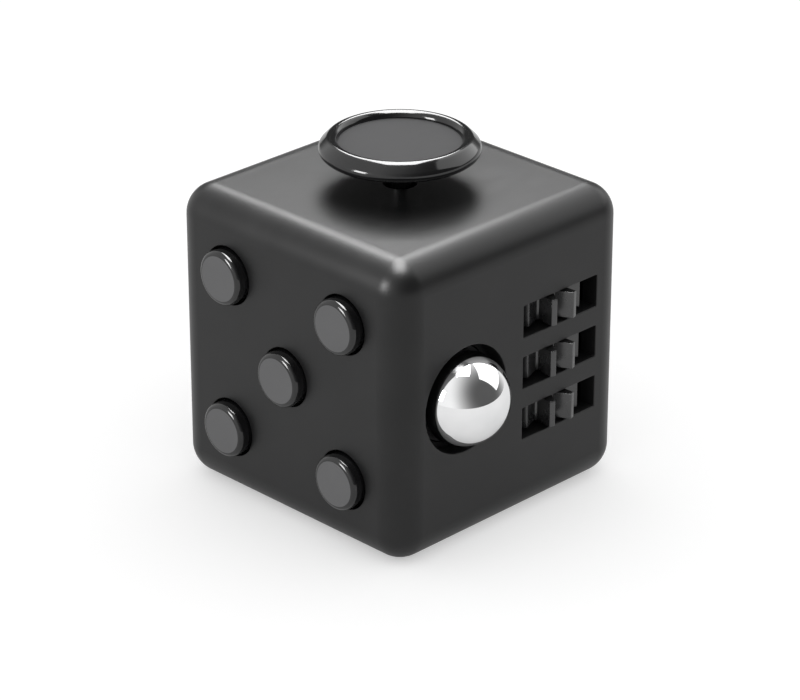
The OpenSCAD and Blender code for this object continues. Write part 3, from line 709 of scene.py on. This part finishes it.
def rocker():
    """The rocker: two dished facets that meet at a crease, with its ends swept about its axis."""
    low_y = math.sqrt(ROCKER_SWEEP ** 2 - (ROCKER_PIVOT - ROCKER_BOTTOM) ** 2)
    high_y = math.sqrt(ROCKER_SWEEP ** 2 - (ROCKER_END - ROCKER_PIVOT) ** 2)
    side = [Vector((low_y, ROCKER_BOTTOM))]
    first = math.atan2(ROCKER_BOTTOM - ROCKER_PIVOT, low_y)
    last = math.atan2(ROCKER_END - ROCKER_PIVOT, high_y)
    count = 10
    for k in range(1, count + 1):
        turn = first + (last - first) * k / count
        side.append(Vector((ROCKER_SWEEP * math.cos(turn), ROCKER_PIVOT + ROCKER_SWEEP * math.sin(turn))))
    soft_end = side[-1]
    dish = []
    points = 12
    for k in range(1, points):
        share = k / points
        sag = ROCKER_SAG * math.sin(math.pi * share)
        height = soft_end.y + (ROCKER_CREASE - soft_end.y) * share - sag
        dish.append(Vector((soft_end.x * (1 - share), height)))
    half_outline = side + dish
    mirrored = [Vector((-p.x, p.y)) for p in reversed(half_outline)]
    outline = half_outline + [Vector((0, ROCKER_CREASE))] + mirrored
    radii = [0] * len(outline)
    corner = len(side) - 1
    radii[corner] = ROCKER_SOFT
    radii[len(outline) - 1 - corner] = ROCKER_SOFT
    mesh = bmesh.new()
    solid(mesh, rounded(outline, radii), -ROCKER_WIDTH / 2, ROCKER_WIDTH / 2, ROCKER_SOFT)
    upright = Matrix(((0, 0, 1), (1, 0, 0), (0, 1, 0))).to_4x4()
    about_axis = (Matrix.Translation((0, 0, ROCKER_PIVOT)) @ Matrix.Rotation(ROCKER_TILT, 4, "X")
                  @ Matrix.Translation((0, 0, -ROCKER_PIVOT)))
    place = face_frame("back") @ about_axis @ upright
    return piece("rocker_face", mesh, "rocker", [gloss_plastic], ["rocker"], place)


# ---------- studio ----------

FLOOR_GLOW = 0.42                 # light that the floor gives off itself
FLOOR_SHINE = 0.2                 # the weaker light that shiny surfaces show instead
FLOOR_SIZE = 2.5                  # half its side, in metres
FLOOR_DROP = 0.02 * MM            # keeps it clear of the cube's own bottom face
CAMERA_LENS = 157.2               # focal length in millimetres, on a 36 mm sensor
CAMERA_DISTANCE = 365.75          # in millimetres
CAMERA_TARGET = Vector((0, 0, 13.955 * MM))


def floor():
    """A plain pale floor with a faint glow of its own and a barely visible grain."""
    mesh = bmesh.new()
    bmesh.ops.create_grid(mesh, x_segments=8, y_segments=8, size=FLOOR_SIZE)
    data = bpy.data.meshes.new("floor")
    mesh.to_mesh(data)
    mesh.free()
    material, tree, shader, place = new_material("floor_paper")
    grains = noise(tree, place, 30 * MM, detail=2)
    tone = blend_colour(tree, between(tree, grains, 0, 1), (0.66, 0.66, 0.66), (0.67, 0.67, 0.67))
    tree.links.new(tone, shader.inputs["Base Color"])
    shader.inputs["Roughness"].default_value = 0.9
    shader.inputs["Specular IOR Level"].default_value = 0
    shader.inputs["Emission Color"].default_value = (1, 1, 1, 1)
    shiny = add(tree, "ShaderNodeLightPath").outputs["Is Glossy Ray"]
    tree.links.new(between(tree, shiny, FLOOR_GLOW, FLOOR_SHINE, 0, 1), shader.inputs["Emission Strength"])
    data.materials.append(material)
    made = bpy.data.objects.new("floor", data)
    made.location.z = -FLOOR_DROP
    scene.collection.objects.link(made)


def direction(azimuth, elevation):
    """The way from the cube to an azimuth and elevation in degrees. Azimuth 0 is -Y, 90 is +X."""
    a, e = math.radians(azimuth), math.radians(elevation)
    return Vector((math.sin(a) * math.cos(e), -math.cos(a) * math.cos(e), math.sin(e)))


def camera():
    """The camera: a long lens a little above the cube, facing its near upright edge."""
    data = bpy.data.cameras.new("camera")
    data.lens = CAMERA_LENS
    data.sensor_width = 36
    data.clip_start = 0.01
    data.clip_end = 20
    made = bpy.data.objects.new("camera", data)
    back = direction(45, 25.66)
    made.location = CAMERA_TARGET + back * CAMERA_DISTANCE * MM
    made.rotation_mode = "QUATERNION"
    made.rotation_quaternion = (-back).to_track_quat("-Z", "Y")
    scene.collection.objects.link(made)
    scene.camera = made


def softbox(name, azimuth, elevation, width, height, brightness, distance=0.4):
    """A rectangular light facing the cube, flagged off the floor: it shows in shiny surfaces only.

    A brightness of 1 looks as bright as the pale surroundings.
    """
    data = bpy.data.lights.new(name, "AREA")
    data.shape = "RECTANGLE"
    data.size = width
    data.size_y = height
    data.energy = brightness * math.pi * width * height
    made = bpy.data.objects.new(name, data)
    way = direction(azimuth, elevation)
    made.location = CENTRE + way * distance
    made.rotation_mode = "QUATERNION"
    made.rotation_quaternion = way.to_track_quat("Z", "Y")
    made.visible_camera = False
    made.visible_diffuse = False
    scene.collection.objects.link(made)


def dark_part(tree, way, reach, core):
    """How dark the surroundings are: 0 beyond reach degrees from that direction, 1 within core degrees."""
    here = add(tree, "ShaderNodeTexCoord").outputs["Generated"]
    dot = add(tree, "ShaderNodeVectorMath", {0: here, 1: way}, operation="DOT_PRODUCT").outputs["Value"]
    limits = {"From Min": math.cos(math.radians(reach)), "From Max": math.cos(math.radians(core))}
    inputs = {"Value": dot, **limits}
    return add(tree, "ShaderNodeMapRange", inputs, interpolation_type="SMOOTHSTEP").outputs["Result"]


def surround():
    """Even pale light from all sides. Shiny surfaces also show the studio's dark parts."""
    world = bpy.data.worlds.new("studio")
    world.use_nodes = True
    tree = world.node_tree
    open_end = dark_part(tree, direction(105, 20), 90, 18)
    low_back = dark_part(tree, direction(225, 4), 42, 24)
    both = add(tree, "ShaderNodeMath", {0: open_end, 1: low_back}, operation="MAXIMUM").outputs[0]
    shiny = add(tree, "ShaderNodeLightPath").outputs["Is Glossy Ray"]
    dark = add(tree, "ShaderNodeMath", {0: both, 1: shiny}, operation="MULTIPLY").outputs[0]
    colour = blend_colour(tree, dark, (1, 1, 1), (0.1, 0.1, 0.1))
    tree.links.new(colour, tree.nodes["Background"].inputs["Color"])
    scene.world = world


def lights():
    """The studio's soft boxes."""
    softbox("back_box", 228, 50, 0.2, 0.2, 12)
    softbox("overhead_box", 228, 84, 0.2, 0.28, 18)
    softbox("front_left_box", -12, 20, 0.12, 0.16, 17)
    softbox("back_right_panel", 162, 38, 0.42, 0.36, 1.4)


dress_cad_nodes()
case_body()
bottom_cover()
for name in BUTTONS:
    button(name)
ball()
for name in WHEELS:
    wheel(name)
thumb_disc()
dial()
rocker()
floor()
camera()
surround()
lights()
scene.view_settings.view_transform = "Standard"
